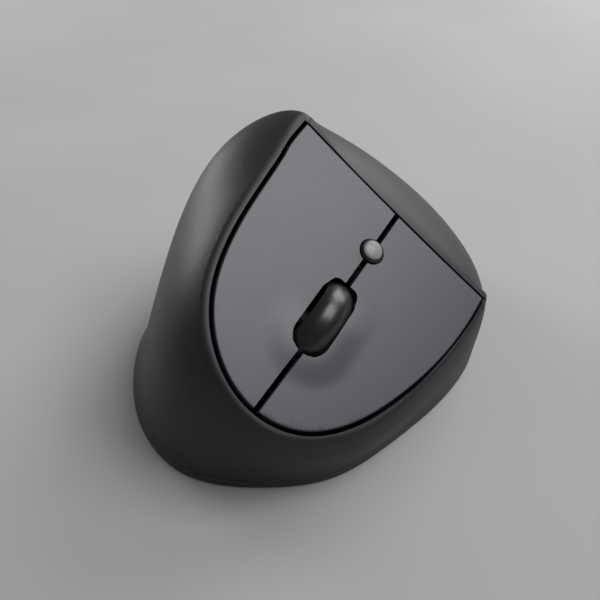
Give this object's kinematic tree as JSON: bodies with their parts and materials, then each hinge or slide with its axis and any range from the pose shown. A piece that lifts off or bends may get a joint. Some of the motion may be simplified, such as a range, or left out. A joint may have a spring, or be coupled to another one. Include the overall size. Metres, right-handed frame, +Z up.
{
  "type": "computer mouse",
  "caption": "Left-handed upright cordless computer mouse with sloped finger keys, scroll wheel, thumb buttons and parked receiver.",
  "frame": {"origin": "on the table under the middle of the mouse", "axes": "+Y towards the fingertips, +X towards the thumb side, +Z up"},
  "size_m": [0.086, 0.1097, 0.06],
  "materials": {
    "soft_black": "fine soft-touch paint, matt",
    "inner_black": "moulded, fine spark texture",
    "wheel_black": "polished rubber barrel",
    "cap_grey": "satin moulded",
    "board_green": "solder mask",
    "part_black": "moulded, smooth",
    "stem_white": "moulded, smooth",
    "steel": "plain turned",
    "plated": "bright plated",
    "cell_can": "plain can, no print",
    "lens_clear": "clear moulded",
    "lamp_red": "tinted clear dome",
    "ribbon_white": "flat cable",
    "glide_grey": "low-friction pad"
  },
  "bodies": {
    "housing": {"side_shell": "soft_black", "palm_cover": "soft_black", "front_blank": "soft_black", "base_plate": "inner_black", "key_deck": "inner_black", "hinge_pin": "steel", "button_board": "board_green", "index_switch": "part_black", "middle_switch": "part_black", "dpi_switch": "part_black", "wheel_switch": "part_black", "forward_switch": "part_black", "back_switch": "part_black", "side_board": "board_green", "cell_body": "cell_can", "cell_nub": "plated", "contact_plate": "plated", "contact_spring": "plated", "main_board": "board_green", "sensor": "part_black", "sensor_lens": "lens_clear", "sensor_lamp": "lamp_red", "key_socket": "part_black", "side_socket": "part_black", "key_ribbon": "ribbon_white", "side_ribbon": "ribbon_white", "power_switch": "part_black", "glide_feet": "glide_grey", "case_screws": "steel"},
    "index_lever": {"index_key": "soft_black"},
    "index_push": {"index_plunger": "stem_white"},
    "middle_lever": {"middle_key": "soft_black"},
    "middle_push": {"middle_plunger": "stem_white"},
    "cradle": {"wheel_cradle": "inner_black", "encoder": "part_black", "wheel_axle": "steel"},
    "wheel": {"wheel_hub": "inner_black", "wheel_tyre": "wheel_black"},
    "cradle_push": {"wheel_stem": "stem_white"},
    "dpi_cap": {"dpi_button": "cap_grey"},
    "dpi_push": {"dpi_stem": "stem_white"},
    "forward_cap": {"forward_button": "soft_black"},
    "forward_push": {"forward_stem": "stem_white"},
    "back_cap": {"back_button": "soft_black"},
    "back_push": {"back_stem": "stem_white"},
    "door": {"cell_door": "inner_black"},
    "receiver": {"receiver_cap": "inner_black", "receiver_plug": "plated", "receiver_tongue": "part_black"},
    "slider": {"power_slider": "inner_black"}
  },
  "joints": [
    {"name": "index_press", "type": "hinge", "parent": "housing", "child": "index_lever", "pos_m": [-0.01448, -0.01324, 0.03613], "axis": [0.7976, 0.1592, 0.5818], "range_deg": [-1, 0], "stiffness_Nm_per_rad": 1.2, "springref_deg": 0.17},
    {"name": "index_click", "type": "slide", "parent": "housing", "child": "index_push", "axis": [0.6032, -0.2105, -0.7693], "range_m": [0, 0.0008]},
    {"name": "middle_press", "type": "hinge", "parent": "housing", "child": "middle_lever", "pos_m": [-0.01448, -0.01324, 0.03613], "axis": [0.7976, 0.1592, 0.5818], "range_deg": [-1, 0], "stiffness_Nm_per_rad": 1.2, "springref_deg": 0.17},
    {"name": "middle_click", "type": "slide", "parent": "housing", "child": "middle_push", "axis": [0.6032, -0.2105, -0.7693], "range_m": [0, 0.0008]},
    {"name": "wheel_press", "type": "slide", "parent": "housing", "child": "cradle", "axis": [0.6032, -0.2105, -0.7693], "range_m": [0, 0.0005], "stiffness_N_per_m": 900},
    {"name": "wheel_click", "type": "slide", "parent": "housing", "child": "cradle_push", "axis": [0.6032, -0.2105, -0.7693], "range_m": [0, 0.0005]},
    {"name": "wheel_turn", "type": "hinge", "parent": "cradle", "child": "wheel", "pos_m": [-0.01375, 0.02287, 0.02526], "axis": [0.7976, 0.1592, 0.5818], "continuous": true},
    {"name": "dpi_press", "type": "slide", "parent": "housing", "child": "dpi_cap", "axis": [0.6032, -0.2105, -0.7693], "range_m": [0, 0.0004], "stiffness_N_per_m": 900},
    {"name": "dpi_click", "type": "slide", "parent": "housing", "child": "dpi_push", "axis": [0.6032, -0.2105, -0.7693], "range_m": [0, 0.0004]},
    {"name": "forward_press", "type": "slide", "parent": "housing", "child": "forward_cap", "axis": [-1, 0, 0], "range_m": [0, 0.0005], "stiffness_N_per_m": 900},
    {"name": "forward_click", "type": "slide", "parent": "housing", "child": "forward_push", "axis": [-1, 0, 0], "range_m": [0, 0.0005]},
    {"name": "back_press", "type": "slide", "parent": "housing", "child": "back_cap", "axis": [-1, 0, 0], "range_m": [0, 0.0005], "stiffness_N_per_m": 900},
    {"name": "back_click", "type": "slide", "parent": "housing", "child": "back_push", "axis": [-1, 0, 0], "range_m": [0, 0.0005]},
    {"name": "door_open", "type": "hinge", "parent": "housing", "child": "door", "pos_m": [0.019, 0.02305, 0.0016], "axis": [1, 0, 0], "range_deg": [0, 70]},
    {"name": "receiver_out", "type": "slide", "parent": "housing", "child": "receiver", "axis": [0, 0, -1], "range_m": [0, 0.02]},
    {"name": "power_slide", "type": "slide", "parent": "housing", "child": "slider", "axis": [1, 0, 0], "range_m": [0, 0.0025]}
  ],
  "couplings": [
    {"joint": "index_click", "follows": "index_press", "m_per_rad": -0.0422},
    {"joint": "middle_click", "follows": "middle_press", "m_per_rad": -0.0422},
    {"joint": "wheel_click", "follows": "wheel_press", "ratio": 1},
    {"joint": "dpi_click", "follows": "dpi_press", "ratio": 1},
    {"joint": "forward_click", "follows": "forward_press", "ratio": 1},
    {"joint": "back_click", "follows": "back_press", "ratio": 1}
  ]
}
